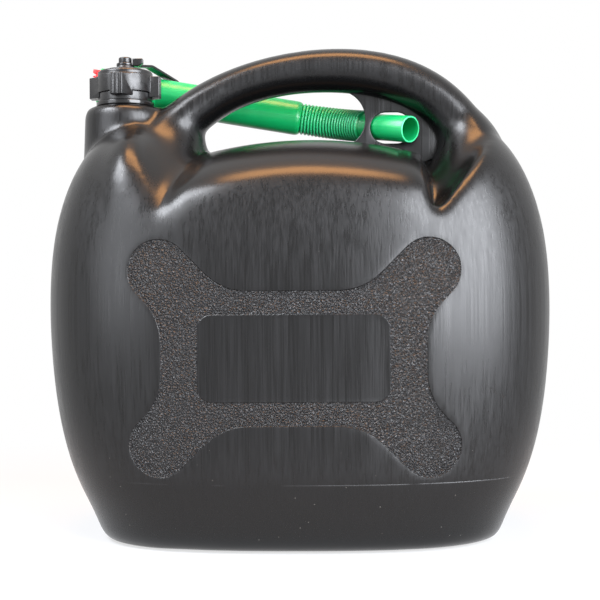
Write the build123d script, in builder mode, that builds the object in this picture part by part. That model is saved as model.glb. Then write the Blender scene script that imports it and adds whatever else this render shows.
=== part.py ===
from build123d import *
import os
from math import copysign, cos, pi, radians, sin, tan

# Fuel jerrycan of just under twenty litres: a blown can with a carrying handle, a winged screw closure on a
# neck at its left end, and a flexible pouring spout stored behind the handle with its tip through a web.
# Millimetres, +Z up. The origin is on the floor under the middle of the can. X runs along the width and
# the front faces -Y.

# Can
can_width = 382.0
can_depth = 225.0
shoulder_height = 316.0
crown_height = 304.0
wall = 3.0
overrun = 5.0

# Rounded sections of the can from the floor up: height, width and depth as shares of the can's sizes
can_section_shares = [
    (0.000, 0.667, 0.620),
    (0.022, 0.760, 0.800),
    (0.110, 0.868, 0.940),
    (0.270, 0.959, 0.984),
    (0.480, 1.000, 1.000),
    (0.690, 0.991, 0.984),
    (0.830, 0.938, 0.915),
    (0.930, 0.855, 0.750),
    (1.000, 0.700, 0.360),
]
section_exponent = 2.7
section_steps = 24

# Crown between the handle's feet: an arched lobe with a round front and back
crown_peak_x = 8.0
crown_arch_radius = 333.0
crown_round_height = 64.0
crown_round_depth = 226.0
crown_arc_degrees = 44.0

# Valleys beside the crown, as shares of half the width and of the shoulder height
left_valley_shares = (-0.507, 0.753)
right_valley_shares = (0.507, 0.757)
left_shoulder_top_share = -0.654
right_shoulder_top_share = 0.885
left_crown_top_share = -0.274
right_crown_top_share = 0.482
valley_top_share = 1.044

# Handle
handle_height = 376.0
grip_thickness = 33.5
grip_depth = 40.0
egg_share = 0.14

# Stations along the grip: place as shares of half the width and of the handle height, lean in degrees,
# then thickness and depth as shares of the grip's own sizes
grip_station_shares = [
    (-0.454, 0.861, 45, 1.02, 1.20),
    (-0.199, 0.931, 19, 0.92, 1.00),
    (0.098, 0.9555, -2, 1.00, 0.98),
    (0.388, 0.937, -19, 1.06, 1.01),
    (0.646, 0.844, -52, 1.11, 1.18),
]
# Stations of the handle's feet below the grip's ends: place, lean, then width and depth as shares of the
# can's sizes
left_foot_shares = [
    (-0.534, 0.959, 80, 0.161, 0.350),
    (-0.560, 0.865, 90, 0.199, 0.690),
    (-0.560, 0.722, 90, 0.219, 0.865),
]
right_foot_shares = [
    (0.686, 0.946, -75, 0.136, 0.340),
    (0.670, 0.861, -90, 0.184, 0.570),
    (0.643, 0.730, -90, 0.209, 0.790),
]

# Web at the right end of the handle opening, with the hole that holds the spout's tip
web_thickness = 2.4
web_left_x = 37.0
web_right_x = 112.0
web_bottom_z = 285.0
web_top_z = 345.0
opening_end_radius = 22.3
opening_end_x = 29.6
opening_end_z = 321.6
hole_x = 71.9
hole_z = 314.2
hole_height = 24.2
hole_clearance = 0.4

# Neck tower
neck_x = -136.0
tower_foot_z = 270.0
tower_foot_diameter = 67.0
tower_top_z = 332.5
tower_top_diameter = 62.0
tower_edge_radius = 8.0
neck_diameter = 36.0
neck_bore = 29.0
neck_top_z = 352.0

# Grained pad on the front and the back, with a plain window
pad_z = 140.0
pad_depth = 0.5
pad_lobe_spacing_x = 188.0
pad_lobe_spacing_z = 123.4
pad_lobe_diameter = 44.3
pad_arm_length = 60.0
pad_frame_width = 184.0
pad_frame_height = 94.0
pad_inner_radius = 14.0
window_width = 132.5
window_height = 61.3
window_radius = 10.5
window_depth = 0.5

# Strap that ties the closure to the neck
loop_diameter = 45.0
loop_height = 3.2
fit_clearance = 0.3
strap_width = 8.0
strap_thickness = 2.0
strap_turn_degrees = 60.0
strap_reach = 70.0
strap_bend_radius = 12.0
strap_arch_reach = 30.0
strap_arch_rise = 3.3
strap_crest_drop = 6.0
strap_foot_drop = 4.4
eyelet_diameter = 13.6
eyelet_z = 365.0
tab_length = 8.0
tab_width = 6.0
tab_height = 3.6
tab_reach = 6.0
tab_slope = 3.0

# Notched band under the ring
band_diameter = 41.4
band_height = 6.6
notch_length = 8.0
notch_depth = 3.2
notch_count = 4

# Screw ring
ring_diameter = 43.8
ring_shoulder_diameter = 42.6
ring_shoulder_height = 4.0
ring_top_z = 360.6
ring_edge_radius = 2.2
ring_bore = 39.2
ring_window = 30.0
wing_count = 4
wing_reach = 28.0
wing_block_width = 9.5
wing_slope_width = 7.2
wing_side = 7.5
wing_root = 19.0
wing_bottom_z = 339.4
wing_top_z = 355.6
wing_edge_radius = 1.0
wing_groove_diameter = 1.6

# Disc with its knob, and the gasket under it
gasket_thickness = 2.0
gasket_bore = 26.0
disc_flange_thickness = 3.0
disc_boss_height = 5.0
knob_stem_diameter = 8.0
knob_head_diameter = 10.2
knob_head_height = 4.4
knob_edge_radius = 1.2

# Spout
sleeve_diameter = 27.4
sleeve_bore = 23.4
sleeve_length = 168.0
sleeve_offset = 43.5
sleeve_fall_degrees = 9.9
sleeve_end_round = 5.0
collar_diameter = 29.4
collar_length = 49.0
bend_length = 53.0
bellows_length = 60.5
bellows_crest = 25.2
bellows_root = 21.4
bellows_rings = 20
tip_diameter = 20.4
spout_bore = 17.6
tip_turn_degrees = 45.0
tip_fall_degrees = 8.6
tip_reach = 20.5

# Plug in the spout's inlet
plug_length = 9.0
plug_clearance = 0.1
plug_tab_reach = 12.8
plug_tab_root = 4.0
plug_tab_length = 7.0
plug_tab_thickness = 4.0
plug_fork_depth = 3.4
plug_fork_width = 3.0

wing_grooves = []
for groove in (1, 2):
    wing_grooves.append((wing_block_width * groove / 3 - wing_side, -wing_reach))
plug_tab_middle = (plug_tab_root + plug_tab_reach) / 2
half_width = can_width / 2
half_depth = can_depth / 2
neck_radius = neck_diameter / 2
neck_axis = Axis((neck_x, 0, 0), (0, 0, 1))
neck_plane = Plane(origin=(neck_x, 0, 0), x_dir=(1, 0, 0), z_dir=(0, -1, 0))


def can_section(width, depth):
    """Points of one rounded section, a superellipse."""
    power = 2 / section_exponent
    points = []
    for step in range(section_steps):
        turn = 2 * pi * step / section_steps
        across = copysign(abs(cos(turn)) ** power, cos(turn))
        along = copysign(abs(sin(turn)) ** power, sin(turn))
        points.append((across * width, along * depth))
    return points


def can_form(inset):
    """The can without its crown and handle, drawn in by an inset."""
    with BuildPart() as form:
        for height_share, width_share, depth_share in can_section_shares:
            level = inset + height_share * (shoulder_height - 2 * inset)
            with BuildSketch(Plane.XY.offset(level)):
                with BuildLine():
                    points = can_section(width_share * half_width - inset, depth_share * half_depth - inset)
                    Spline(*points, periodic=True)
                make_face()
        loft()
    return form.part


def crown_form(inset):
    """The arched lobe between the handle's feet, cut off beside the two valleys."""
    axis_z = crown_height - crown_arch_radius
    start = radians(crown_arc_degrees / 2)
    middle = crown_arch_radius - crown_round_height
    axis = Axis((crown_peak_x, 0, axis_z), (0, 1, 0))
    plane = Plane(
        origin=(crown_peak_x - middle * sin(start), 0, axis_z + middle * cos(start)),
        x_dir=(0, 1, 0),
        z_dir=(cos(start), 0, sin(start)),
    )
    with BuildPart() as form:
        with BuildSketch(plane):
            Ellipse(crown_round_depth / 2 - inset, crown_round_height - inset)
        revolve(axis=axis, revolution_arc=crown_arc_degrees)
        with BuildSketch(Plane.XZ):
            with BuildLine():
                Polyline(*crown_outline(inset), close=True)
            make_face()
        extrude(amount=can_depth, both=True, mode=Mode.INTERSECT)
    return form.part


def valley_point(shares):
    """Foot of a valley on the front of the can."""
    return shares[0] * half_width, shares[1] * shoulder_height


def crown_outline(inset):
    """Front outline of the crown between the two valleys, down into the can."""
    left_x, left_z = valley_point(left_valley_shares)
    right_x, right_z = valley_point(right_valley_shares)
    top = valley_top_share * shoulder_height
    floor = shoulder_height / 2
    return [
        (left_x + inset, floor),
        (right_x - inset, floor),
        (right_x - inset, right_z),
        (right_crown_top_share * half_width - inset, top),
        (left_crown_top_share * half_width + inset, top),
        (left_x + inset, left_z),
    ]


def saddle_form(inset):
    """What is taken off between the two shoulders."""
    left_x, left_z = valley_point(left_valley_shares)
    right_x, right_z = valley_point(right_valley_shares)
    top = valley_top_share * shoulder_height + overrun
    with BuildPart() as form:
        with BuildSketch(Plane.XZ):
            with BuildLine():
                Polyline(
                    (left_x - inset, left_z - inset),
                    (right_x + inset, right_z - inset),
                    (right_shoulder_top_share * half_width + inset, top),
                    (left_shoulder_top_share * half_width - inset, top),
                    close=True,
                )
            make_face()
        extrude(amount=can_depth, both=True)
    return form.part


def lobed_form(inset):
    """The can with its two shoulders, and its crown between the two valleys."""
    plain = can_form(inset)
    with BuildPart() as crown:
        add(plain)
        add(crown_form(inset), mode=Mode.INTERSECT)
    with BuildPart() as form:
        add(plain)
        add(saddle_form(inset), mode=Mode.SUBTRACT)
        add(crown.part)
    return form.part


def foot_stations(shares):
    """Place, lean, half width and half depth of each station of a foot."""
    stations = []
    for x_share, z_share, lean, width_share, depth_share in shares:
        place = (x_share * half_width, z_share * shoulder_height)
        stations.append((place, lean, width_share * half_width, depth_share * half_depth))
    return stations


def grip_stations():
    """Place, lean, half thickness and half depth of each station of the grip."""
    stations = []
    for x_share, z_share, lean, thickness_share, depth_share in grip_station_shares:
        place = (x_share * half_width, z_share * handle_height)
        stations.append((place, lean, thickness_share * grip_thickness / 2, depth_share * grip_depth / 2))
    return stations


def egg_loft(stations, inset):
    """A hollow or solid arm through egg sections that are widest a little above the middle."""
    with BuildPart() as form:
        for (x, z), lean, half_thick, half_deep in stations:
            turn = radians(lean)
            plane = Plane(origin=(x, 0, z), x_dir=(0, 1, 0), z_dir=(cos(turn), 0, sin(turn)))
            lift = egg_share * half_thick
            with BuildSketch(plane):
                with BuildLine():
                    deep = half_deep - inset
                    EllipticalCenterArc((0, lift), deep, half_thick - lift - inset, 0, arc_size=180)
                    EllipticalCenterArc((0, lift), deep, half_thick + lift - inset, 180, arc_size=180)
                make_face()
        loft()
    return form.part


def handle_form(inset):
    """The grip and the two feet that spread into the can."""
    grip = grip_stations()
    with BuildPart() as form:
        add(egg_loft(grip, inset))
        add(egg_loft([grip[0]] + foot_stations(left_foot_shares), inset))
        add(egg_loft([grip[-1]] + foot_stations(right_foot_shares), inset))
    return form.part


def tower_form(inset):
    """The stump under the neck."""
    with BuildPart() as form:
        with BuildSketch(neck_plane) as profile:
            with BuildLine():
                Polyline(
                    (0, tower_foot_z),
                    (tower_foot_diameter / 2 - inset, tower_foot_z),
                    (tower_top_diameter / 2 - inset, tower_top_z - inset),
                    (0, tower_top_z - inset),
                    close=True,
                )
            make_face()
            rim = profile.vertices().group_by(Axis.Y)[-1].sort_by(Axis.X)[-1]
            fillet(rim, tower_edge_radius - inset)
        revolve(axis=neck_axis)
    return form.part


def on_frame(corner):
    """Whether a corner of the pad's outline lies on the straight sides of its frame."""
    off_x = abs(abs(corner.X) - pad_frame_width / 2)
    off_z = abs(abs(corner.Y - pad_z) - pad_frame_height / 2)
    return min(off_x, off_z) < pad_depth


def pad_form():
    """What is taken off for the grained pads: a frame with a round-ended arm at each corner."""
    arm = pad_arm_length / 2 * sin(radians(45))
    with BuildPart() as form:
        with BuildSketch(Plane.XZ) as outline:
            with Locations((0, pad_z)):
                Rectangle(pad_frame_width, pad_frame_height)
            for side in (-1, 1):
                for end in (-1, 1):
                    x = side * (pad_lobe_spacing_x / 2 - arm)
                    z = pad_z + end * (pad_lobe_spacing_z / 2 - arm)
                    with Locations((x, z)):
                        SlotCenterToCenter(pad_arm_length, pad_lobe_diameter, rotation=side * end * 45)
            fillet([corner for corner in outline.vertices() if on_frame(corner)], pad_inner_radius)
        extrude(amount=can_depth, both=True)
        add(can_form(pad_depth), mode=Mode.SUBTRACT)
    return form.part


def window_form():
    """What is taken off for the plain windows inside the pads, a little deeper than the grain."""
    with BuildPart() as form:
        with BuildSketch(Plane.XZ):
            with Locations((0, pad_z)):
                RectangleRounded(window_width, window_height, window_radius)
        extrude(amount=can_depth, both=True)
        add(can_form(pad_depth + window_depth), mode=Mode.SUBTRACT)
    return form.part


# Where the spout lies: its tip goes through the middle of the web's hole
sleeve_fall = radians(sleeve_fall_degrees)
tip_turn = radians(tip_turn_degrees)
tip_fall = radians(tip_fall_degrees)
sleeve_way = Vector(cos(sleeve_fall), 0, -sin(sleeve_fall))
tip_way = Vector(cos(tip_fall) * cos(tip_turn), -cos(tip_fall) * sin(tip_turn), -sin(tip_fall))
bend_degrees = sleeve_way.get_angle(tip_way)
bend_radius = bend_length / radians(bend_degrees)
bend_tangent = bend_radius * tan(radians(bend_degrees / 2))
hole_centre = Vector(hole_x, 0, hole_z)
tip_root_gap = sleeve_offset / -tip_way.Y - bend_tangent
bend_end = hole_centre - tip_way * tip_root_gap
bellows_start = bend_end - (sleeve_way + tip_way) * bend_tangent
sleeve_inlet = bellows_start - sleeve_way * sleeve_length
bellows_run_out = bellows_length - bend_length
tip_end = hole_centre + tip_way * tip_reach
hole_slant = 1 / cos(tip_turn)
hole_width = tip_diameter * hole_slant + web_thickness * tan(tip_turn) + 2 * hole_clearance


with BuildPart() as cavity:
    add(lobed_form(wall))
    add(handle_form(wall))
    add(tower_form(wall))
    with BuildSketch(Plane.XY.offset(tower_foot_z)):
        with Locations((neck_x, 0)):
            Circle(neck_bore / 2)
    extrude(amount=neck_top_z + overrun - tower_foot_z)

with BuildPart() as can_body:
    add(lobed_form(0))
    add(handle_form(0))
    add(tower_form(0))
    with BuildSketch(Plane.XZ):
        with Locations(((web_left_x + web_right_x) / 2, (web_bottom_z + web_top_z) / 2)):
            Rectangle(web_right_x - web_left_x, web_top_z - web_bottom_z)
        with Locations((opening_end_x, opening_end_z)):
            Circle(opening_end_radius, mode=Mode.SUBTRACT)
        with Locations((hole_x, hole_z)):
            SlotOverall(hole_width, hole_height, mode=Mode.SUBTRACT)
    extrude(amount=web_thickness / 2, both=True)
    with BuildSketch(Plane.XY.offset(tower_top_z - overrun)):
        with Locations((neck_x, 0)):
            Circle(neck_radius)
    extrude(amount=neck_top_z - tower_top_z + overrun)
    add(cavity.part, mode=Mode.SUBTRACT)
    add(pad_form(), mode=Mode.SUBTRACT)
    add(window_form(), mode=Mode.SUBTRACT)
can_body.part.label = "can_body"


def ring_sketch(outer, inner):
    """A flat ring about the neck axis."""
    with Locations((neck_x, 0)):
        Circle(outer)
        Circle(inner, mode=Mode.SUBTRACT)


def facing_plane(degrees_round):
    """Upright plane through the neck axis that faces outwards, 0 for the front."""
    turn = radians(degrees_round)
    return Plane(origin=(neck_x, 0, 0), x_dir=(cos(turn), sin(turn), 0), z_dir=(sin(turn), -cos(turn), 0))


# Heights of what is stacked on the neck, each piece on the one below
loop_z = tower_top_z + fit_clearance
band_z = loop_z + loop_height + fit_clearance
ring_z = band_z + band_height + fit_clearance
gasket_z = neck_top_z
disc_z = gasket_z + gasket_thickness
flange_top_z = disc_z + disc_flange_thickness
boss_top_z = flange_top_z + disc_boss_height
eyelet_top_z = eyelet_z + strap_thickness
head_z = eyelet_top_z + fit_clearance
ring_ceiling_z = flange_top_z + fit_clearance

with BuildPart() as tamper_band:
    with BuildSketch(Plane.XY.offset(band_z)):
        ring_sketch(band_diameter / 2, neck_radius + fit_clearance)
    extrude(amount=band_height)
    for notch in range(notch_count):
        with BuildSketch(facing_plane(360 / notch_count * notch)):
            with BuildLine():
                band_top = band_z + band_height
                Polyline((0, band_top - notch_depth), (0, band_top), (-notch_length, band_top), close=True)
            make_face()
        extrude(amount=band_diameter, mode=Mode.SUBTRACT)
tamper_band.part.label = "tamper_band"

with BuildPart() as screw_ring:
    with BuildSketch(neck_plane) as ring_profile:
        with BuildLine():
            Polyline(
                (0, ring_z),
                (ring_diameter / 2, ring_z),
                (ring_diameter / 2, ring_top_z - ring_shoulder_height),
                (ring_shoulder_diameter / 2, ring_top_z - ring_shoulder_height),
                (ring_shoulder_diameter / 2, ring_top_z),
                (0, ring_top_z),
                close=True,
            )
        make_face()
        fillet(ring_profile.vertices().group_by(Axis.Y)[-1].sort_by(Axis.X)[-1], ring_edge_radius)
    revolve(axis=neck_axis)
    for wing in range(wing_count):
        turn = radians(360 / wing_count * wing)
        plan = Plane(origin=(neck_x, 0, wing_bottom_z), x_dir=(cos(turn), sin(turn), 0), z_dir=(0, 0, 1))
        with BuildSketch(plan) as wing_outline:
            with BuildLine():
                Polyline(
                    (-wing_side, -wing_root),
                    (-wing_side, -wing_reach),
                    (wing_block_width - wing_side, -wing_reach),
                    (wing_block_width + wing_slope_width - wing_side, -wing_root),
                    close=True,
                )
            make_face()
            fillet(wing_outline.vertices().group_by(Axis.Y)[0], wing_edge_radius)
            with Locations(*wing_grooves):
                Circle(wing_groove_diameter / 2, mode=Mode.SUBTRACT)
        extrude(amount=wing_top_z - wing_bottom_z)
    with BuildSketch(Plane.XY.offset(wing_bottom_z)):
        with Locations((neck_x, 0)):
            Circle(band_diameter / 2 + fit_clearance)
    extrude(amount=ring_z - wing_bottom_z, mode=Mode.SUBTRACT)
    with BuildSketch(Plane.XY.offset(wing_bottom_z)):
        with Locations((neck_x, 0)):
            Circle(ring_bore / 2)
    extrude(amount=ring_ceiling_z - wing_bottom_z, mode=Mode.SUBTRACT)
    with BuildSketch(Plane.XY.offset(wing_bottom_z)):
        with Locations((neck_x, 0)):
            Circle(ring_window / 2)
    extrude(amount=ring_top_z + overrun - wing_bottom_z, mode=Mode.SUBTRACT)
screw_ring.part.label = "screw_ring"

with BuildPart() as cap_gasket:
    with BuildSketch(Plane.XY.offset(gasket_z)):
        ring_sketch(neck_radius, gasket_bore / 2)
    extrude(amount=gasket_thickness)
cap_gasket.part.label = "cap_gasket"

with BuildPart() as closure_disc:
    with BuildSketch(neck_plane) as disc_profile:
        with BuildLine():
            Polyline(
                (0, disc_z),
                (ring_bore / 2 - fit_clearance, disc_z),
                (ring_bore / 2 - fit_clearance, flange_top_z),
                (ring_window / 2 - fit_clearance, flange_top_z),
                (ring_window / 2 - fit_clearance, boss_top_z),
                (eyelet_diameter / 2, boss_top_z),
                (eyelet_diameter / 2, eyelet_z),
                (knob_stem_diameter / 2, eyelet_z),
                (knob_stem_diameter / 2, head_z),
                (knob_head_diameter / 2, head_z),
                (knob_head_diameter / 2, head_z + knob_head_height),
                (0, head_z + knob_head_height),
                close=True,
            )
        make_face()
        fillet(disc_profile.vertices().group_by(Axis.Y)[-1].sort_by(Axis.X)[-1], knob_edge_radius)
    revolve(axis=neck_axis)
closure_disc.part.label = "closure_disc"

# The strap leaves the neck loop under the stored spout, goes round it and comes back over it to the knob
strap_turn = radians(strap_turn_degrees)
strap_plane = Plane(
    origin=(neck_x, 0, 0),
    x_dir=(cos(strap_turn), sin(strap_turn), 0),
    z_dir=(sin(strap_turn), -cos(strap_turn), 0),
)
strap_low_z = loop_z + loop_height / 2
strap_high_z = eyelet_z + strap_thickness / 2
with BuildPart() as cap_strap:
    with BuildSketch(Plane.XY.offset(loop_z)):
        ring_sketch(loop_diameter / 2, neck_radius + fit_clearance)
    extrude(amount=loop_height)
    with BuildSketch(Plane.XY.offset(eyelet_z)):
        ring_sketch(eyelet_diameter / 2, knob_stem_diameter / 2 + fit_clearance)
    extrude(amount=strap_thickness)
    with BuildSketch(strap_plane):
        with BuildLine():
            FilletPolyline(
                (neck_radius + strap_thickness, strap_low_z),
                (strap_reach, strap_low_z - strap_foot_drop),
                (strap_reach, strap_high_z - strap_crest_drop),
                (strap_arch_reach, strap_high_z + strap_arch_rise),
                (knob_stem_diameter / 2 + strap_thickness, strap_high_z),
                radius=strap_bend_radius,
            )
        trace(line_width=strap_thickness)
    extrude(amount=strap_width / 2, both=True)
    with BuildSketch(neck_plane):
        with BuildLine():
            Polyline(
                (tab_reach, eyelet_z),
                (tab_reach + tab_length - tab_slope, eyelet_z),
                (tab_reach + tab_length, eyelet_top_z),
                (tab_reach + tab_length, eyelet_top_z + tab_height),
                (tab_reach, eyelet_top_z + tab_height),
                close=True,
            )
        make_face()
    extrude(amount=tab_width / 2, both=True)
cap_strap.part.label = "cap_strap"


def length_plane(start, way):
    """Plane through a line, with its Y axis along the line."""
    across = way.cross(Vector(0, 0, 1))
    return Plane(origin=start, x_dir=across, z_dir=across.cross(way))


with BuildLine() as bellows_path:
    TangentArc(bellows_start, bend_end, tangent=sleeve_way)
    Line(bend_end, bend_end + tip_way * bellows_run_out)
bellows_wire = bellows_path.wires()[0]

with BuildPart() as spout:
    with BuildSketch(length_plane(sleeve_inlet, sleeve_way)):
        with BuildLine():
            Polyline(
                (0, 0),
                (collar_diameter / 2, 0),
                (collar_diameter / 2, collar_length),
                (sleeve_diameter / 2, collar_length),
                (sleeve_diameter / 2, sleeve_length - sleeve_end_round),
                (bellows_root / 2, sleeve_length),
                (0, sleeve_length),
                close=True,
            )
        make_face()
    revolve(axis=Axis(sleeve_inlet, sleeve_way))
    for fold in range(2 * bellows_rings + 1):
        share = fold / (2 * bellows_rings)
        with BuildSketch(Plane(origin=bellows_wire @ share, z_dir=bellows_wire % share)):
            Circle((bellows_root if fold % 2 == 0 else bellows_crest) / 2)
    loft(ruled=True)
    with BuildSketch(Plane(origin=bend_end + tip_way * bellows_run_out, z_dir=tip_way)):
        Circle(tip_diameter / 2)
    extrude(amount=tip_root_gap + tip_reach - bellows_run_out)
    with BuildSketch(Plane(origin=sleeve_inlet, z_dir=sleeve_way)):
        Circle(sleeve_bore / 2)
    extrude(amount=sleeve_length - sleeve_end_round, mode=Mode.SUBTRACT)
    with BuildLine() as bore_path:
        FilletPolyline(
            bellows_start - sleeve_way * (sleeve_end_round + overrun),
            bellows_start + sleeve_way * bend_tangent,
            tip_end + tip_way * overrun,
            radius=bend_radius,
        )
    with BuildSketch(Plane(origin=bore_path.line @ 0, z_dir=sleeve_way)):
        Circle(spout_bore / 2)
    sweep(path=bore_path.line, mode=Mode.SUBTRACT)
spout.part.label = "spout"

with BuildPart() as spout_plug:
    with BuildSketch(Plane(origin=sleeve_inlet, z_dir=sleeve_way)):
        Circle(sleeve_bore / 2 - plug_clearance)
    extrude(amount=plug_length)
    plug_plane = Plane(origin=sleeve_inlet, x_dir=-sleeve_way, z_dir=(0, 1, 0))
    with BuildSketch(plug_plane):
        with BuildLine():
            Polyline(
                (0, plug_tab_root),
                (plug_tab_length, plug_tab_middle - plug_fork_width / 2),
                (plug_tab_length - plug_fork_depth, plug_tab_middle),
                (plug_tab_length, plug_tab_middle + plug_fork_width / 2),
                (plug_tab_length, plug_tab_reach),
                (0, plug_tab_reach),
                close=True,
            )
        make_face()
    extrude(amount=plug_tab_thickness / 2, both=True)
spout_plug.part.label = "spout_plug"

os.makedirs("parts", exist_ok=True)
for piece in (can_body, tamper_band, screw_ring, cap_gasket, closure_disc, cap_strap, spout, spout_plug):
    export_step(piece.part, f"parts/{piece.part.label}.step")
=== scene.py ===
import math

import bmesh
import bpy
from mathutils import Matrix, Vector
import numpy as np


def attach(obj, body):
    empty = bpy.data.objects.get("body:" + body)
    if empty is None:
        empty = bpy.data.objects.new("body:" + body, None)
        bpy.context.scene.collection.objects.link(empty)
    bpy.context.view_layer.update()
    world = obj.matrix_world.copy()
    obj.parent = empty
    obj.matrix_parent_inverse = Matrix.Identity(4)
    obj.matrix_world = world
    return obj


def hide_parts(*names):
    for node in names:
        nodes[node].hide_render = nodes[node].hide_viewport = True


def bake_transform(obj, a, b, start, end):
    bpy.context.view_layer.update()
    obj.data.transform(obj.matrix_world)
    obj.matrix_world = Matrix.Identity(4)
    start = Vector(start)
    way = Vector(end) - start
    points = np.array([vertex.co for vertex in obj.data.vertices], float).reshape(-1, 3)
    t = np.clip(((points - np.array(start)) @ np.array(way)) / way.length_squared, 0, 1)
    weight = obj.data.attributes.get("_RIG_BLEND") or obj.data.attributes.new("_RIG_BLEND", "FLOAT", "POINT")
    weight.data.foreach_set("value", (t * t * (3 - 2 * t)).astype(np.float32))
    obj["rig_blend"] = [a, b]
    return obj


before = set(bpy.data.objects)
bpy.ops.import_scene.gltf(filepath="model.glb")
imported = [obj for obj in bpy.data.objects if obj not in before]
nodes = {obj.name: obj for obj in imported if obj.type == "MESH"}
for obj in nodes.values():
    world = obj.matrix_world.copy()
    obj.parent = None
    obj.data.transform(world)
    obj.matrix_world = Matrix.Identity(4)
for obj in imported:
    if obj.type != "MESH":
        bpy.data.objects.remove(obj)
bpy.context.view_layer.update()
mm = 0.001

# Camera: the can is turned a little, so the camera stands a little to its right
photo_side = 600
focal_pixels = 1247.5
camera_distance = 975 * mm
camera_height = 180.6 * mm
camera_turn = math.radians(1.9)
camera_roll = math.radians(0.4)
sensor_width = 36.0

# Can
skin_voxel = 2.6 * mm
blend_passes = 10
calm_passes = 47
trough_passes = 128
shoulder_fill_centre = (-124 * mm, 38 * mm, 250 * mm)
shoulder_fill_size = (25 * mm, 54 * mm, 58 * mm)
inside_step = 7 * mm
inside_share = 0.2
base_fill = 0.095
base_fill_power = 3
base_fill_height = 40 * mm
neck_x = -136 * mm
tower_top = 332.5 * mm
neck_radius = 18 * mm
neck_bore = 14.5 * mm
neck_top = 352 * mm
neck_root_round = 1.2 * mm
neck_edge = 0.8 * mm
neck_steps = 96
mouth_depth = 3 * mm
seam_height = 3 * mm
thread_height = 1.1 * mm
thread_width = 2.2 * mm
thread_pitch = 4 * mm
thread_turns = 2.4
thread_low = 339 * mm
mould_line_height = 51.5 * mm

# Soft zones of the can's skin: a place across, half widths and heights that run from none to full
base_blend = (0, 16 * mm)
calm_off = (26 * mm, 48 * mm)
calm_faces_top = (235 * mm, 195 * mm)
calm_faces_foot = (14 * mm, 44 * mm)
calm_crown = (0, (96 * mm, 74 * mm), (301 * mm, 288 * mm))
calm_right = (125 * mm, (62 * mm, 40 * mm), (326 * mm, 296 * mm))
calm_right_share = 0.7
trough_off = (22 * mm, 46 * mm)
trough_foot = (190 * mm, 215 * mm)
trough_left = (-104 * mm, (54 * mm, 34 * mm), (322 * mm, 292 * mm))
trough_crown = (0, (96 * mm, 66 * mm), (298 * mm, 284 * mm))
trough_crown_share = 0.3
trough_right = (122 * mm, (52 * mm, 34 * mm), (322 * mm, 296 * mm))
trough_right_share = 0.4

# Web with the hole that holds the spout's tip
web_thickness = 2.4 * mm
web_low = (36.9 * mm, 285 * mm)
web_high = (114 * mm, 346 * mm)
web_edge = 0.85 * mm
opening_end = (29.6 * mm, 321.6 * mm)
opening_end_radius = 22.3 * mm
opening_end_angle = 76
hole_centre = (71.9 * mm, 314.2 * mm)
hole_height = 24.2 * mm
hole_clearance = 0.4 * mm

# Pads on the front and the back
pad_height = 140 * mm
pad_depth = 0.5 * mm
pad_shift = -1.3 * mm
pad_lobe_spacing = (190.5 * mm, 123.4 * mm)
pad_lobe_radius = 22.15 * mm
pad_arm_length = 60 * mm
pad_frame = (186.5 * mm, 94 * mm)
pad_blend = 13 * mm
window_size = (135 * mm, 61.3 * mm)
window_radius = 10.5 * mm
window_depth = 0.5 * mm
pad_edge_fade = 1.8 * mm
pad_top = 250 * mm
far_from_pad = 1.0

# Spout, in the same place as its solid
sleeve_radius = 13.7 * mm
sleeve_bore = 11.7 * mm
sleeve_length = 168 * mm
sleeve_offset = 43.5 * mm
sleeve_fall = math.radians(9.9)
shoulder_length = 5 * mm
collar_radius = 14.7 * mm
collar_length = 49 * mm
bend_length = 53 * mm
bellows_length = 60.5 * mm
bellows_crest = 12.6 * mm
bellows_root = 10.7 * mm
bellows_rings = 20
tip_radius = 10.2 * mm
spout_bore = 8.8 * mm
tip_turn = math.radians(45)
tip_fall = math.radians(8.6)
tip_reach = 20.5 * mm
spout_steps = 72
seam_rise = 0.2 * mm
plain_share = 0.5
tip_across = 2 * tip_radius / math.cos(tip_turn)
hole_width = tip_across + web_thickness * math.tan(tip_turn) + 2 * hole_clearance


def new_piece(name, form, crease=40):
    """Object at the origin from a finished bmesh, shaded smooth but for its creases."""
    mesh = bpy.data.meshes.new(name)
    form.to_mesh(mesh)
    form.free()
    mesh.shade_smooth()
    mesh.set_sharp_from_angle(angle=math.radians(crease))
    piece = bpy.data.objects.new(name, mesh)
    bpy.context.scene.collection.objects.link(piece)
    return piece


def baked(piece):
    """Bakes the modifiers of a piece into its own mesh."""
    graph = bpy.context.evaluated_depsgraph_get()
    mesh = bpy.data.meshes.new_from_object(piece.evaluated_get(graph), depsgraph=graph)
    piece.modifiers.clear()
    piece.data = mesh
    return piece


def finish_piece(piece, body, material, stands_for):
    """Hands a piece to its body, its finish and the node that it stands for."""
    piece.data.materials.clear()
    piece.data.materials.append(material)
    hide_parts(stands_for)
    if body:
        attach(piece, body)
    return piece


# Materials


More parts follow.
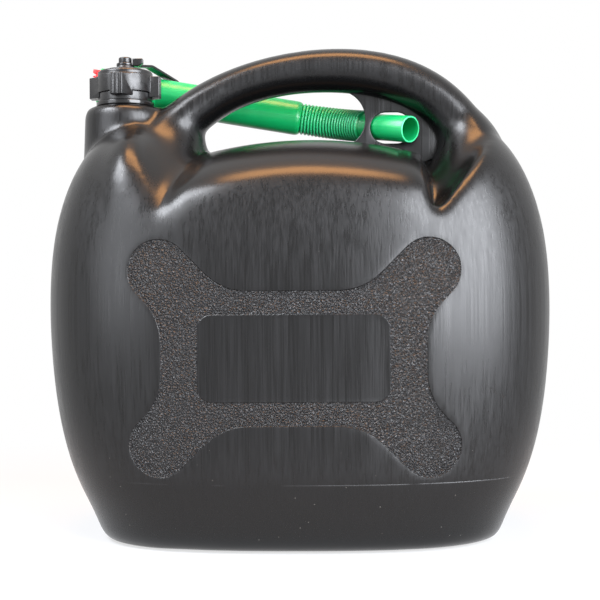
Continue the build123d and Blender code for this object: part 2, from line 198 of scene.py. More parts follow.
class Finish:
    """A material under construction, with short calls for its nodes."""

    def __init__(self, name, colour, roughness):
        self.material = bpy.data.materials.new(name)
        self.material.use_nodes = True
        self.nodes = self.material.node_tree.nodes
        self.links = self.material.node_tree.links
        self.shader = self.nodes["Principled BSDF"]
        self.shader.inputs["Base Color"].default_value = (*colour, 1)
        self.shader.inputs["Roughness"].default_value = roughness
        coordinates = self.nodes.new("ShaderNodeTexCoord")
        self.place = coordinates.outputs["Object"]
        self.facing = coordinates.outputs["Normal"]

    def node(self, kind, inputs=None, **settings):
        made = self.nodes.new(kind)
        for key, value in settings.items():
            setattr(made, key, value)
        for key, value in (inputs or {}).items():
            self.fill(made.inputs[key], value)
        return made

    def fill(self, socket, value):
        if isinstance(value, bpy.types.NodeSocket):
            self.links.new(value, socket)
        else:
            socket.default_value = value

    def math(self, operation, first, second=0.0):
        return self.node("ShaderNodeMath", {0: first, 1: second}, operation=operation).outputs[0]

    def times(self, first, second):
        return self.math("MULTIPLY", first, second)

    def plus(self, first, second):
        return self.math("ADD", first, second)

    def without(self, first, second):
        """First where second isn't."""
        return self.times(first, self.math("SUBTRACT", 1.0, second))

    def ramp(self, value, low, high, out_low=0.0, out_high=1.0):
        inputs = {"Value": value, "From Min": low, "From Max": high, "To Min": out_low, "To Max": out_high}
        return self.node("ShaderNodeMapRange", inputs, interpolation_type="SMOOTHSTEP").outputs["Result"]

    def stretched(self, scale, turn=(0, 0, 0), shift=(0, 0, 0)):
        inputs = {"Vector": self.place, "Scale": scale, "Rotation": turn, "Location": shift}
        return self.node("ShaderNodeMapping", inputs).outputs["Vector"]

    def noise(self, vector, scale, detail=2.0, roughness=0.5):
        inputs = {"Vector": vector, "Scale": scale, "Detail": detail, "Roughness": roughness}
        return self.node("ShaderNodeTexNoise", inputs).outputs["Fac"]

    def axes(self, vector):
        return self.node("ShaderNodeSeparateXYZ", {"Vector": vector}).outputs

    def attribute(self, name):
        return self.node("ShaderNodeAttribute", attribute_name=name).outputs["Fac"]

    def mix(self, share, first, second):
        made = self.node("ShaderNodeMix", data_type="RGBA")
        factor = next(s for s in made.inputs if s.name == "Factor" and s.type == "VALUE")
        colours = [s for s in made.inputs if s.type == "RGBA"]
        self.fill(factor, share)
        for socket, colour in zip(colours, (first, second)):
            self.fill(socket, (*colour, 1) if isinstance(colour, tuple) else colour)
        return next(s for s in made.outputs if s.type == "RGBA")

    def bump(self, height, distance, strength=1.0, below=None):
        inputs = {"Height": height, "Distance": distance, "Strength": strength}
        if below is not None:
            inputs["Normal"] = below
        return self.node("ShaderNodeBump", inputs).outputs["Normal"]

    def use(self, socket, value):
        self.links.new(value, self.shader.inputs[socket])


can_gloss = 0.35
can_roughness = 0.26
streak_roughness = 0.15
grain_roughness = 0.02
outline_fade = 0.4 * mm
grain_depth = 3.0 * mm
black_plain = (0.0025, 0.0025, 0.0027)
black_lined = (0.0055, 0.0055, 0.0060)
black_grained = (0.026, 0.026, 0.028)
black_scratched = (0.004, 0.004, 0.004)
ridge_grey = (0.05, 0.05, 0.052)
dust_grey = (0.16, 0.15, 0.135)
green_dark = (0.002, 0.30, 0.080)
green_light = (0.004, 0.35, 0.100)
# Painted light on the spout: a darker green as painted shade in the bellows' grooves, a paler green as
# painted highlight on the ring crests and the tip's rim
green_painted_groove_shade = (0.001, 0.16, 0.04)
green_painted_crest_highlight = (0.06, 0.56, 0.26)
scratch_start = (134 * mm, 119.5 * mm)
scratch_slope = math.radians(33)
scratch_length = 16 * mm


def can_finish():
    """Blown satin black, with die streaks, a grained pad, parting lines, one scratch and a little dust."""
    finish = Finish("blown_black_plastic", black_plain, can_roughness)
    finish.shader.inputs["Specular IOR Level"].default_value = can_gloss
    across, height = finish.axes(finish.place)["Y"], finish.axes(finish.place)["Z"]

    pad = finish.ramp(finish.attribute("pad_edge"), -outline_fade, outline_fade, 1.0, 0.0)
    window = finish.ramp(finish.attribute("window_edge"), -outline_fade, outline_fade, 1.0, 0.0)
    grained = finish.without(pad, window)

    fine = finish.noise(finish.stretched((900, 900, 1.2)), 1.0, 3.0, 0.6)
    broad = finish.noise(finish.stretched((190, 190, 0.5), shift=(3, 1, 7)), 1.0, 3.0)
    streaks = finish.plus(finish.times(fine, 0.6), finish.times(broad, 0.4))
    drawn = finish.ramp(height, mould_line_height - 4 * mm, mould_line_height + 8 * mm, 0.25, 1.0)
    upright = finish.ramp(finish.math("ABSOLUTE", finish.axes(finish.facing)["Z"]), 0.25, 0.7, 1.0, 0.0)
    lined = finish.times(finish.times(finish.ramp(streaks, 0.36, 0.66), drawn), upright)
    lined = finish.without(lined, grained)

    warp = finish.node("ShaderNodeTexNoise", {"Vector": finish.place, "Scale": 420.0, "Detail": 1.0})
    bend_inputs = {0: warp.outputs["Color"], 1: (2.4 * mm,) * 3}
    bent = finish.node("ShaderNodeVectorMath", bend_inputs, operation="MULTIPLY")
    placed = finish.node("ShaderNodeVectorMath", {0: finish.place, 1: bent.outputs[0]}, operation="ADD")
    cell_inputs = {"Vector": placed.outputs[0], "Scale": 450.0, "Randomness": 1.0}
    cells = finish.node("ShaderNodeTexVoronoi", cell_inputs, feature="DISTANCE_TO_EDGE")
    pebbles = finish.ramp(cells.outputs["Distance"], 0.02, 0.34)
    crinkle = finish.noise(finish.place, 700.0, 2.0)
    grain = finish.times(finish.plus(finish.times(pebbles, 0.8), finish.times(crinkle, 0.35)), grained)

    peel = finish.noise(finish.place, 260.0, 2.0)
    from_line = finish.math("ABSOLUTE", finish.math("SUBTRACT", height, mould_line_height))
    broken = finish.ramp(finish.noise(finish.stretched((22, 22, 4)), 1.0), 0.42, 0.6)
    mould_ridge = finish.times(finish.ramp(from_line, 0.1 * mm, 0.5 * mm, 1.0, 0.0), broken)
    parting = finish.ramp(finish.math("ABSOLUTE", across), 0.15 * mm, 0.55 * mm, 1.0, 0.0)
    scratch = scratch_mask(finish)

    surface = finish.bump(peel, 0.06 * mm, 0.35)
    surface = finish.bump(lined, 0.05 * mm, 0.5, surface)
    surface = finish.bump(grain, grain_depth, 1.0, surface)
    surface = finish.bump(finish.plus(mould_ridge, parting), 0.18 * mm, 0.8, surface)
    surface = finish.bump(finish.math("SUBTRACT", 1.0, scratch), 0.3 * mm, 0.8, surface)
    finish.use("Normal", surface)

    dust_inputs = {"Vector": finish.place, "Scale": 120.0, "Randomness": 1.0}
    dust_cells = finish.node("ShaderNodeTexVoronoi", dust_inputs)
    dust_size = finish.ramp(height, 30 * mm, 110 * mm, 0.05, 0.018)
    dust = finish.math("LESS_THAN", dust_cells.outputs["Distance"], dust_size)

    tone = finish.mix(lined, black_plain, black_lined)
    tone = finish.mix(grain, tone, black_grained)
    tone = finish.mix(finish.times(mould_ridge, 0.6), tone, ridge_grey)
    tone = finish.mix(finish.times(dust, 0.5), tone, dust_grey)
    tone = finish.mix(scratch, tone, black_scratched)
    finish.use("Base Color", tone)
    rough = finish.plus(can_roughness, finish.times(lined, streak_roughness))
    finish.use("Roughness", finish.plus(rough, finish.times(grained, grain_roughness)))
    return finish.material


def scratch_mask(finish):
    """One dark, ragged scratch low on the right of the front."""
    turned = finish.stretched((1, 1, 1), turn=(0, -scratch_slope, 0))
    shift_x = scratch_start[0] * math.cos(scratch_slope) - scratch_start[1] * math.sin(scratch_slope)
    shift_z = scratch_start[0] * math.sin(scratch_slope) + scratch_start[1] * math.cos(scratch_slope)
    parts = finish.axes(turned)
    along = finish.math("SUBTRACT", parts["X"], shift_x)
    off = finish.math("SUBTRACT", parts["Z"], shift_z)
    ragged = finish.times(finish.math("SUBTRACT", finish.noise(finish.place, 330.0, 3.0), 0.5), 5 * mm)
    width = finish.ramp(along, 0.0, scratch_length, 0.75 * mm, 0.15 * mm)
    line = finish.math("LESS_THAN", finish.math("ABSOLUTE", finish.plus(off, ragged)), width)
    begun = finish.math("GREATER_THAN", along, 0.0)
    inside = finish.times(begun, finish.math("LESS_THAN", along, scratch_length))
    front = finish.math("LESS_THAN", parts["Y"], 0.0)
    return finish.times(finish.times(line, inside), front)


def moulded_finish(name, colour, dark, roughness, grain):
    """Injection moulded plastic: a fine spark grain and slight clouds of colour."""
    finish = Finish(name, colour, roughness)
    clouds = finish.noise(finish.place, 60.0, 3.0)
    finish.use("Base Color", finish.mix(finish.ramp(clouds, 0.3, 0.7), dark, colour))
    finish.use("Normal", finish.bump(finish.noise(finish.place, 1500.0, 2.0), grain, 0.5))
    wear = finish.noise(finish.place, 220.0, 3.0)
    finish.use("Roughness", finish.ramp(wear, 0.3, 0.7, roughness - 0.05, roughness + 0.06))
    return finish.material


def spout_finish():
    """Soft green, a little glossy, with fine flow lines along the tube, painted highlights on the ring crests
    and the tip's rim, and painted shade in the ring grooves.
    """
    finish = Finish("soft_green_plastic", green_light, 0.34)
    finish.shader.inputs["Subsurface Weight"].default_value = 0.15
    finish.shader.inputs["Subsurface Radius"].default_value = (0.4, 1.0, 0.5)
    finish.shader.inputs["Subsurface Scale"].default_value = 2 * mm
    clouds = finish.noise(finish.place, 45.0, 3.0)
    tone = finish.mix(finish.ramp(clouds, 0.3, 0.7), green_dark, green_light)
    crest = finish.attribute("crest")
    # Painted shade in the bellows' grooves, then painted highlight on their crests and on the tip's rim
    tone = finish.mix(finish.ramp(crest, 0.0, plain_share, 0.6, 0.0), tone, green_painted_groove_shade)
    tone = finish.mix(finish.ramp(crest, plain_share, 1.0, 0.0, 0.6), tone, green_painted_crest_highlight)
    finish.use("Base Color", tone)
    lines = finish.noise(finish.stretched((40, 900, 900)), 1.0, 2.0)
    finish.use("Normal", finish.bump(lines, 0.03 * mm, 0.4))
    finish.use("Roughness", finish.ramp(lines, 0.3, 0.7, 0.28, 0.40))
    return finish.material


can_plastic = can_finish()
cap_plastic = moulded_finish(
    "moulded_black_plastic", (0.007, 0.007, 0.0075), (0.005, 0.005, 0.0054), 0.3, 0.05 * mm
)
strap_plastic = moulded_finish(
    "glossy_black_plastic", (0.006, 0.006, 0.0064), (0.004, 0.004, 0.0043), 0.2, 0.02 * mm
)
spout_plastic = spout_finish()
plug_plastic = moulded_finish("red_plastic", (0.80, 0.005, 0.006), (0.66, 0.004, 0.005), 0.36, 0.03 * mm)
gasket_rubber = moulded_finish("black_rubber", (0.02, 0.02, 0.02), (0.014, 0.014, 0.014), 0.7, 0.05 * mm)


# Can


def from_neck(point):
    """Distance from the neck's axis."""
    return math.hypot(point.x - neck_x, point.y)


def linked_faces(start):
    """All faces that can be reached from one face."""
    found = {start}
    waiting = [start]
    while waiting:
        for edge in waiting.pop().edges:
            for face in edge.link_faces:
                if face not in found:
                    found.add(face)
                    waiting.append(face)
    return found


def in_neck(face):
    """Whether a face belongs to the outside or the rim of the neck."""
    verts = [v.co for v in face.verts]
    in_stump = all(from_neck(p) < neck_radius + 0.3 * mm and p.z > tower_top - 0.05 * mm for p in verts)
    return in_stump and any(from_neck(p) > neck_bore + 0.3 * mm for p in verts)


def in_web(face):
    """Whether a face belongs to the thin web at the end of the handle's opening."""
    return all(
        abs(v.co.y) < web_thickness / 2 + 0.05 * mm
        and web_low[0] < v.co.x < web_high[0]
        and web_low[1] < v.co.z < web_high[1]
        for v in face.verts
    )


def can_forms():
    """The closed outside without its neck and web, and the inside with its bore, open at the mouth."""
    form = bmesh.new()
    form.from_mesh(nodes["can_body"].data)
    bmesh.ops.remove_doubles(form, verts=form.verts, dist=0.002 * mm)
    bmesh.ops.delete(form, geom=[f for f in form.faces if in_neck(f)], context="FACES")
    outside = linked_faces(min(form.faces, key=lambda f: f.calc_center_median().z))
    outer_marks = [f in outside for f in form.faces]
    inside = form.copy()
    outer_faces = [f for f, outer in zip(inside.faces, outer_marks) if outer]
    bmesh.ops.delete(inside, geom=outer_faces, context="FACES")
    inner_faces = [f for f, outer in zip(form.faces, outer_marks) if not outer]
    bmesh.ops.delete(form, geom=inner_faces, context="FACES")
    bmesh.ops.delete(form, geom=[f for f in form.faces if in_web(f)], context="FACES")
    for vert in form.verts:
        if vert.is_boundary and from_neck(vert.co) > 2 * neck_radius:
            vert.co.y = 0
    bmesh.ops.remove_doubles(form, verts=[v for v in form.verts if v.is_boundary], dist=0.4 * mm)
    bmesh.ops.holes_fill(form, edges=[e for e in form.edges if e.is_boundary], sides=0)
    bmesh.ops.triangulate(form, faces=[f for f in form.faces if len(f.verts) > 4])
    inside.normal_update()
    for vert in inside.verts:
        if vert.is_boundary:
            vert.co.z = neck_top - mouth_depth - seam_height
        else:
            vert.co += vert.normal * inside_step * trough_share(vert.co)
    return form, inside


def rise(value, start, end):
    """0 before start, 1 after end, whichever way they lie."""
    return min(max((value - start) / (end - start), 0), 1)


def blend_share(point):
    """How far a place is blended: all but the edge of the base."""
    return rise(point.z, *base_blend)


def in_zone(point, middle, half_width, height):
    """1 in a stretch of the can's width below a height, with soft ends."""
    return rise(abs(point.x - middle), *half_width) * rise(point.z, *height)


def calm_share(point):
    """How far a place belongs to the broad faces, the crown or the right valley, smoothed a little."""
    off = rise(abs(point.y), *calm_off)
    low = rise(point.z, *calm_faces_top) * rise(point.z, *calm_faces_foot)
    crown = in_zone(point, *calm_crown) * off
    right = calm_right_share * in_zone(point, *calm_right) * off
    return max(low, crown, right)


def trough_share(point):
    """How far a place belongs to the soft valleys beside the crown, or to the crown's rounded front."""
    off = rise(abs(point.y), *trough_off)
    left = in_zone(point, *trough_left) * off
    crown = trough_crown_share * in_zone(point, *trough_crown) * off
    right = trough_right_share * in_zone(point, *trough_right) * off
    return max(left, crown, right) * rise(point.z, *trough_foot)


def smoothed_skin(form):
    """The outside as an even mesh, with soft blends at the feet and valleys and calm broad faces."""
    fill_shoulder(form)
    piece = new_piece("can_skin", form)
    remesh = piece.modifiers.new("even", "REMESH")
    remesh.mode = "VOXEL"
    remesh.voxel_size = skin_voxel
    baked(piece)
    soften(piece, blend_passes, blend_share)
    soften(piece, calm_passes, calm_share)
    soften(piece, trough_passes, trough_share)
    baked(piece)
    for vert in piece.data.vertices:
        spread = 1 + base_fill * rise(vert.co.z, base_fill_height, 0) ** base_fill_power
        vert.co = (vert.co.x * spread, vert.co.y * spread, vert.co.z)
    return piece


def soften(piece, passes, share_at):
    """Adds a smoothing of the piece, by its share at each place."""
    group = piece.vertex_groups.new(name=share_at.__name__)
    for vert in piece.data.vertices:
        group.add([vert.index], share_at(vert.co), "REPLACE")
    smooth = piece.modifiers.new("soft", "SMOOTH")
    smooth.factor = 0.5
    smooth.iterations = passes
    smooth.vertex_group = group.name


def fill_shoulder(form):
    """Fills the left shoulder out towards the crown, at the front and the back."""
    x, y, z = shoulder_fill_centre
    for side in (-1, 1):
        place = Matrix.LocRotScale((x, side * y, z), None, shoulder_fill_size)
        bmesh.ops.create_uvsphere(form, u_segments=48, v_segments=32, radius=1, matrix=place)


def box_edge(x, z, width, height, radius):
    """Signed distance to a rounded rectangle about the origin."""
    dx = abs(x) - width / 2 + radius
    dz = abs(z) - height / 2 + radius
    outside = math.hypot(max(dx, 0), max(dz, 0))
    return outside + min(max(dx, dz), 0) - radius


def arm_edge(x, z):
    """Signed distance to the nearest round-ended arm of the pad."""
    end_x = pad_lobe_spacing[0] / 2
    end_z = pad_lobe_spacing[1] / 2
    slope = math.sqrt(0.5)
    along = (end_x - abs(x)) * slope + (end_z - abs(z)) * slope
    along = min(max(along, 0), pad_arm_length)
    return math.hypot(abs(x) - end_x + along * slope, abs(z) - end_z + along * slope) - pad_lobe_radius


def pad_edge(x, z):
    """Signed distance to the pad's outline, with filleted inner corners."""
    frame_edge = box_edge(x, z - pad_height, *pad_frame, 0)
    arms = arm_edge(x, z - pad_height)
    near = max(pad_blend - abs(frame_edge - arms), 0) / pad_blend
    return min(frame_edge, arms) - near * near * pad_blend / 4


def window_edge(x, z):
    """Signed distance to the window inside the pad."""
    return box_edge(x, z - pad_height, *window_size, window_radius)


def soft_step(edge):
    """1 well inside an outline, 0 outside, with a soft shoulder."""
    share = rise(edge, pad_edge_fade / 2, -pad_edge_fade / 2)
    return share * share * (3 - 2 * share)


def press_pads(mesh):
    """Presses the pads and windows into the front and back, and keeps their outlines for the finish."""
    pads = mesh.attributes.new("pad_edge", "FLOAT", "POINT")
    windows = mesh.attributes.new("window_edge", "FLOAT", "POINT")
    normals = [n.vector.copy() for n in mesh.vertex_normals]
    for vert, normal in zip(mesh.vertices, normals):
        facing = abs(normal.y) > 0.5 and vert.co.z < pad_top
        edge = pad_edge(vert.co.x - pad_shift, vert.co.z) if facing else far_from_pad
        pane = window_edge(vert.co.x - pad_shift, vert.co.z) if facing else far_from_pad
        pads.data[vert.index].value = edge
        windows.data[vert.index].value = pane
        if facing:
            vert.co -= normal * (pad_depth * soft_step(edge) + window_depth * soft_step(pane))


def neck_form():
    """Neck from its root up, over the rim and into the mouth, open at both ends."""
    form = bmesh.new()
    turn = math.sqrt(0.5)
    points = [
        (neck_radius + neck_root_round, tower_top),
        (neck_radius + neck_root_round * (1 - turn), tower_top + neck_root_round * (1 - turn)),
        (neck_radius, tower_top + neck_root_round),
        (neck_radius, neck_top - neck_edge),
        (neck_radius - neck_edge * (1 - turn), neck_top - neck_edge * (1 - turn)),
        (neck_radius - neck_edge, neck_top),
        (neck_bore + neck_edge, neck_top),
        (neck_bore + neck_edge * (1 - turn), neck_top - neck_edge * (1 - turn)),
        (neck_bore, neck_top - neck_edge),
        (neck_bore, neck_top - mouth_depth),
    ]
    verts = [form.verts.new((neck_x + r, 0, z)) for r, z in points]
    edges = [form.edges.new(pair) for pair in zip(verts, verts[1:])]
    bmesh.ops.spin(
        form, geom=verts + edges, cent=(neck_x, 0, 0), axis=(0, 0, 1), angle=2 * math.pi, steps=neck_steps,
        use_merge=True,
    )
    return form


def thread_form():
    """The neck's thread, a helical ridge."""
    form = bmesh.new()
    steps = int(neck_steps * thread_turns)
    root = neck_radius - thread_height / 2
    crest = neck_radius + thread_height
    half = thread_width / 2
    ridge = [(root, -half), (crest, -half / 3), (crest, half / 3), (root, half)]
    start = form.faces.new([form.verts.new((neck_x + r, 0, thread_low + z)) for r, z in ridge])
    climb = Vector((0, 0, thread_pitch * thread_turns / steps))
    bmesh.ops.spin(
        form, geom=[start], cent=(neck_x, 0, 0), axis=(0, 0, 1), dvec=climb, angle=2 * math.pi * thread_turns,
        steps=steps, use_merge=False,
    )
    bmesh.ops.recalc_face_normals(form, faces=form.faces)
    return form


web_back_corners = (
    (75 * mm, 291 * mm), (98 * mm, 287 * mm), (110 * mm, 292 * mm), (112 * mm, 305 * mm),
    (106 * mm, 325 * mm), (92 * mm, 338 * mm), (70 * mm, 346 * mm), (48 * mm, 350 * mm),
)


def web_outline():
    """The web's edge: the round end of the handle's opening, then corners hidden in the can."""
    steps = 32
    points = []
    for step in range(steps + 1):
        turn = math.radians(opening_end_angle * (1 - 2 * step / steps))
        x = opening_end[0] + opening_end_radius * math.cos(turn)
        points.append((x, opening_end[1] + opening_end_radius * math.sin(turn)))
    return points + list(web_back_corners)


def hole_outline():
    """The slot that the spout's tip goes through."""
    steps = 64
    radius = hole_height / 2
    straight = (hole_width - hole_height) / 2
    points = []
    for step in range(steps):
        turn = 2 * math.pi * (step + 0.5) / steps
        x = hole_centre[0] + math.copysign(straight, math.cos(turn)) + radius * math.cos(turn)
        points.append((x, hole_centre[1] + radius * math.sin(turn)))
    return points


def web_form():
    """The web plate with its rounded edges."""
    form = bmesh.new()
    edges = []
    for loop in (web_outline(), hole_outline()):
        verts = [form.verts.new((x, -web_thickness / 2, z)) for x, z in loop]
        edges += [form.edges.new(pair) for pair in zip(verts, verts[1:] + verts[:1])]
    bmesh.ops.triangle_fill(form, edges=edges, use_beauty=True, normal=(0, -1, 0))
    plate = bmesh.ops.extrude_face_region(form, geom=list(form.faces))
    moved = [v for v in plate["geom"] if isinstance(v, bmesh.types.BMVert)]
    bmesh.ops.translate(form, verts=moved, vec=(0, web_thickness, 0))
    bmesh.ops.recalc_face_normals(form, faces=form.faces)
    rims = [e for e in form.edges if e.calc_face_angle(0) > math.radians(60)]
    bmesh.ops.bevel(form, geom=rims, offset=web_edge, segments=3, profile=0.5, affect="EDGES", material=-1)
    return form


def open_mouth(form):
    """Opens the skin under the neck, with a round edge."""
    opening = neck_radius + 2 * neck_root_round
    inner = [
        f for f in form.faces
        if from_neck(f.calc_center_median()) < opening and f.calc_center_median().z > tower_top - mouth_depth
    ]
    bmesh.ops.delete(form, geom=inner, context="FACES")
    for vert in form.verts:
        if vert.is_boundary:
            pull = opening / from_neck(vert.co)
            vert.co = (neck_x + (vert.co.x - neck_x) * pull, vert.co.y * pull, tower_top)


def close_seam(form, low, high):
    """Joins the two open loops round the neck that lie between two heights."""
    edges = [e for e in form.edges if e.is_boundary and all(low < v.co.z < high for v in e.verts)]
    bmesh.ops.bridge_loops(form, edges=edges)


def thinned(form):
    """The same form with fewer faces, for the hidden inside."""
    piece = new_piece("can_inside", form)
    thin = piece.modifiers.new("thin", "DECIMATE")
    thin.ratio = inside_share
    lighter = bmesh.new()
    lighter.from_mesh(baked(piece).data)
    bpy.data.objects.remove(piece)
    return lighter


def join_form(form, extra):
    """Adds a second form to a form."""
    mesh = bpy.data.meshes.new("extra")
    extra.to_mesh(mesh)
    extra.free()
    form.from_mesh(mesh)
    bpy.data.meshes.remove(mesh)


def can_shell():
    """The whole blown can: smooth outside, neck with its thread, web and plain inside."""
    outside, inside = can_forms()
    skin = smoothed_skin(outside)
    press_pads(skin.data)
    form = bmesh.new()
    form.from_mesh(skin.data)
    bpy.data.objects.remove(skin)
    open_mouth(form)
    skin_count = len(form.verts)
    for extra in (neck_form(), thinned(inside)):
        join_form(form, extra)
    close_seam(form, tower_top - mouth_depth, tower_top + mouth_depth)
    close_seam(form, neck_top - 2 * mouth_depth - seam_height, neck_top - mouth_depth / 2)
    bmesh.ops.recalc_face_normals(form, faces=form.faces)
    for extra in (thread_form(), web_form()):
        join_form(form, extra)
    form.verts.ensure_lookup_table()
    for name in ("pad_edge", "window_edge"):
        layer = form.verts.layers.float[name]
        for vert in form.verts[skin_count:]:
            vert[layer] = far_from_pad
    shell = new_piece("can_shell", form, crease=50)
    return finish_piece(shell, "root", can_plastic, "can_body")


# Spout


def spout_line():
    """The sleeve's way, the bend's axis, radius and start, and the plain length of the tip."""
    sleeve_way = Vector((math.cos(sleeve_fall), 0, -math.sin(sleeve_fall)))
    level = math.cos(tip_fall)
    tip_way = Vector((level * math.cos(tip_turn), -level * math.sin(tip_turn), -math.sin(tip_fall)))
    turn = sleeve_way.angle(tip_way)
    radius = bend_length / turn
    tangent = radius * math.tan(turn / 2)
    hole = Vector((hole_centre[0], 0, hole_centre[1]))
    gap = sleeve_offset / -tip_way.y - tangent
    bend_start = hole - tip_way * (gap + tangent) - sleeve_way * tangent
    axis = sleeve_way.cross(tip_way).normalized()
    return sleeve_way, axis, radius, bend_start, gap + tip_reach - bellows_length + bend_length


def spout_profile(tip_length):
    """Radius along the straightened spout, out and back along the inside, with its tone: 1 on a crest and on
    the tip's rim, for a painted highlight, 0 in a groove, for painted shade.
    """
    edge = 0.5 * mm
    points = [
        (sleeve_bore + edge, 0), (collar_radius - edge, 0), (collar_radius, edge),
        (collar_radius, collar_length - edge), (collar_radius - edge, collar_length),
        (sleeve_radius, collar_length + edge / 4),
    ]
    straight = sleeve_length - shoulder_length - collar_length
    points += [(sleeve_radius, collar_length + straight * step / 6) for step in range(1, 7)]
    for step in range(1, 7):
        turn = math.pi / 2 * step / 6
        drop = (sleeve_radius - bellows_root) * (1 - math.cos(turn))
        points.append((sleeve_radius - drop, sleeve_length - shoulder_length * (1 - math.sin(turn))))
    toned = [(radius, along, plain_share) for radius, along in points]
    pitch = bellows_length / bellows_rings
    # Each ring's crest value shapes the ring and also sets its painted light: painted highlight on the crest,
    # painted shade in the groove
    for step in range(1, 8 * bellows_rings + 1):
        crest = abs(math.sin(math.pi * step / 8)) ** 0.6
        radius = bellows_root + (bellows_crest - bellows_root) * crest
        toned.append((radius, sleeve_length + pitch * step / 8, crest))
    start = sleeve_length + bellows_length
    end = start + tip_length
    points = [(tip_radius, start + 2 * edge), (tip_radius, (start + end) / 2), (tip_radius, end - edge)]
    toned += [(radius, along, plain_share) for radius, along in points]
    # The tip's rim takes the full crest tone, a painted highlight
    points = [(tip_radius - edge / 3, end - edge / 4), (tip_radius - edge, end), (spout_bore + edge / 2, end)]
    toned += [(radius, along, 1) for radius, along in points]
    back = end - edge - sleeve_length + shoulder_length
    points = [(spout_bore, end - edge - back * step / 24) for step in range(25)]
    points += [(sleeve_bore, sleeve_length - 2 * shoulder_length), (sleeve_bore, edge)]
    return toned + [(radius, along, plain_share) for radius, along in points]


def spout_piece():
    """The spout, spun straight and then bent along its line."""
    sleeve_way, axis, bend_radius, bend_start, tip_length = spout_line()
    form = bmesh.new()
    crest = form.verts.layers.float.new("crest")
    verts = []
    for radius, along, share in spout_profile(tip_length):
        vert = form.verts.new((0, radius, along))
        vert[crest] = share
        verts.append(vert)
    edges = [form.edges.new(pair) for pair in zip(verts, verts[1:] + verts[:1])]
    bmesh.ops.spin(
        form, geom=verts + edges, cent=(0, 0, 0), axis=(0, 0, 1), angle=2 * math.pi, steps=spout_steps,
        use_merge=True,
    )
    bmesh.ops.recalc_face_normals(form, faces=form.faces)
    to_centre = axis.cross(sleeve_way)
    centre = bend_start + to_centre * bend_radius
    for vert in form.verts:
        side, up, along = vert.co
        outside = math.hypot(side, up) > spout_bore + 2 * seam_rise
        if outside and abs(up) < seam_rise and vert[crest] == plain_share:
            side += math.copysign(seam_rise, side)
        turn = min(max((along - sleeve_length) / bend_radius, 0), bend_length / bend_radius)
        rest = along - sleeve_length - turn * bend_radius
        bend = Matrix.Rotation(turn, 3, axis)
        out = bend @ to_centre
        vert.co = centre - out * bend_radius + bend @ sleeve_way * rest - out * side - axis * up
    piece = new_piece("spout_tube", form, crease=60)
    return finish_piece(piece, "root", spout_plastic, "spout")


# Closure


def softened(name, node, width, body, material):
    """A copy of a node with its edges rounded."""
    form = bmesh.new()
    form.from_mesh(nodes[node].data)
    bmesh.ops.remove_doubles(form, verts=form.verts, dist=0.002 * mm)
    bmesh.ops.dissolve_limit(form, angle_limit=math.radians(0.5), verts=form.verts, edges=form.edges)
    sharp = [e for e in form.edges if e.is_manifold and e.calc_face_angle(0) > math.radians(30)]
    bmesh.ops.bevel(form, geom=sharp, offset=width, segments=2, profile=0.5, affect="EDGES", material=-1)
    piece = new_piece(name, form, crease=45)
    return finish_piece(piece, body, material, node)


strap_hold_low = 341 * mm
strap_hold_high = 363 * mm

can_shell()
spout_piece()
softened("winged_ring", "screw_ring", 0.35 * mm, "ring", cap_plastic)
softened("notched_band", "tamper_band", 0.25 * mm, "root", cap_plastic)
softened("knob_disc", "closure_disc", 0.3 * mm, "closure", cap_plastic)
softened("forked_plug", "spout_plug", 0.3 * mm, "root", plug_plastic)
strap = softened("tether_strap", "cap_strap", 0.4 * mm, None, strap_plastic)
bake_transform(strap, "root", "closure", start=(neck_x, 0, strap_hold_low), end=(neck_x, 0, strap_hold_high))
nodes["cap_gasket"].data.materials.clear()
nodes["cap_gasket"].data.materials.append(gasket_rubber)


# Floor, light and camera

floor_reach = 4.0
floor_near = 0.24
floor_far = 0.75
floor_glow = 0.66
floor_white = (0.72, 0.72, 0.73)
floor_bounce = (0.42, 0.42, 0.42)
room_level = 0.06
room_colour = (0.92, 0.96, 1.0)
light_aim = (0, 0, 0.2)


def background_rays(tree):
    """1 for the rays that see the plain background: from the camera, off a gloss or through glass."""
    path = tree.nodes.new("ShaderNodeLightPath")
    seen = path.outputs["Is Camera Ray"]
    for ray in ("Is Glossy Ray", "Is Transmission Ray"):
        either = tree.nodes.new("ShaderNodeMath")
        either.operation = "MAXIMUM"
        tree.links.new(seen, either.inputs[0])
        tree.links.new(path.outputs[ray], either.inputs[1])
        seen = either.outputs[0]
    return seen


def floor_finish():
    """White floor that keeps a soft shadow near the can and runs out to plain white."""
    finish = Finish("white_floor", floor_white, 0.9)
    finish.shader.inputs["Specular IOR Level"].default_value = 0.0
    spread = finish.node("ShaderNodeVectorMath", {0: finish.place}, operation="LENGTH").outputs["Value"]
    clear = finish.ramp(spread, floor_near, floor_far, floor_glow, 1.0)
    seen = background_rays(finish.material.node_tree)
    finish.use("Base Color", finish.mix(seen, floor_bounce, floor_white))
    white = finish.node("ShaderNodeEmission", {"Color": (1, 1, 1, 1), "Strength": 1.0})
    inputs = {0: finish.times(clear, seen), 1: finish.shader.outputs[0], 2: white.outputs[0]}
    mixed = finish.node("ShaderNodeMixShader", inputs)
    finish.links.new(mixed.outputs[0], finish.nodes["Material Output"].inputs["Surface"])
    return finish.material


def lay_floor():
    """The floor that the can stands on."""
    form = bmesh.new()
    bmesh.ops.create_grid(form, x_segments=8, y_segments=8, size=floor_reach)
    floor = new_piece("floor", form)
    floor.data.materials.append(floor_finish())


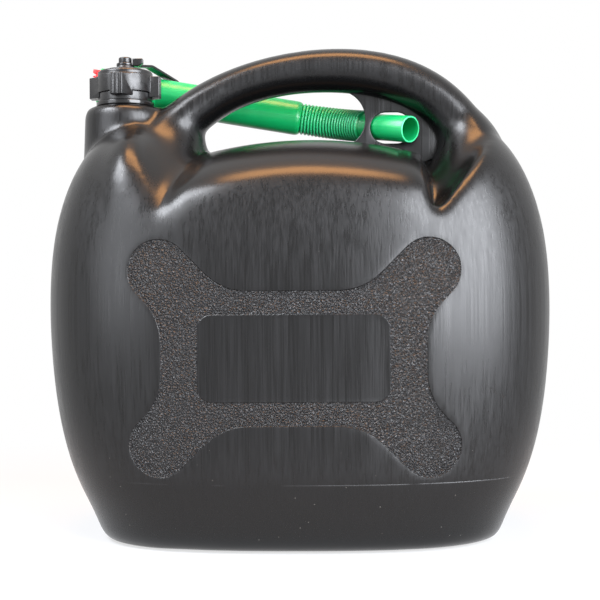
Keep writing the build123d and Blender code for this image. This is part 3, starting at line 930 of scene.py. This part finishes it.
def light_room():
    """Plain white for the camera and the gloss, a dim grey room for the light."""
    world = bpy.data.worlds.new("studio")
    bpy.context.scene.world = world
    world.use_nodes = True
    tree = world.node_tree
    tree.nodes.clear()
    room = tree.nodes.new("ShaderNodeBackground")
    room.inputs["Color"].default_value = (*room_colour, 1)
    room.inputs["Strength"].default_value = room_level
    white = tree.nodes.new("ShaderNodeBackground")
    white.inputs["Color"].default_value = (1, 1, 1, 1)
    mix = tree.nodes.new("ShaderNodeMixShader")
    out = tree.nodes.new("ShaderNodeOutputWorld")
    tree.links.new(background_rays(tree), mix.inputs[0])
    tree.links.new(room.outputs[0], mix.inputs[1])
    tree.links.new(white.outputs[0], mix.inputs[2])
    tree.links.new(mix.outputs[0], out.inputs["Surface"])


def softbox(name, place, width, height, watts, colour):
    """A soft panel that faces the can."""
    lamp = bpy.data.lights.new(name, "AREA")
    lamp.shape = "RECTANGLE"
    lamp.size = width
    lamp.size_y = height
    lamp.energy = watts
    lamp.color = colour
    panel = bpy.data.objects.new(name, lamp)
    panel.location = place
    panel.rotation_euler = (Vector(light_aim) - Vector(place)).to_track_quat("-Z", "Y").to_euler()
    bpy.context.scene.collection.objects.link(panel)


def set_lights():
    """Three cool panels in front and a small warm one above."""
    cool = (0.91, 0.94, 1.0)
    warm = (1.0, 0.47, 0.16)
    softbox("right_panel", (0.98, -1.0, 0.62), 1.2, 1.2, 82, cool)
    softbox("left_panel", (-1.0, -0.85, 0.55), 0.7, 0.9, 9, cool)
    softbox("high_left_panel", (-0.85, -0.55, 1.25), 0.7, 0.6, 32, cool)
    softbox("warm_panel", (0.0, -0.14, 1.30), 0.65, 0.42, 12, warm)


def set_camera():
    """The camera where the photograph was taken from."""
    lens = bpy.data.cameras.new("camera")
    lens.sensor_width = sensor_width
    lens.lens = focal_pixels / photo_side * sensor_width
    camera = bpy.data.objects.new("camera", lens)
    away = (camera_distance * math.sin(camera_turn), -camera_distance * math.cos(camera_turn))
    camera.location = (*away, camera_height)
    camera.rotation_euler = (math.radians(90), camera_roll, camera_turn)
    bpy.context.scene.collection.objects.link(camera)
    bpy.context.scene.camera = camera


lay_floor()
light_room()
set_lights()
set_camera()
bpy.context.scene.view_settings.view_transform = "Standard"
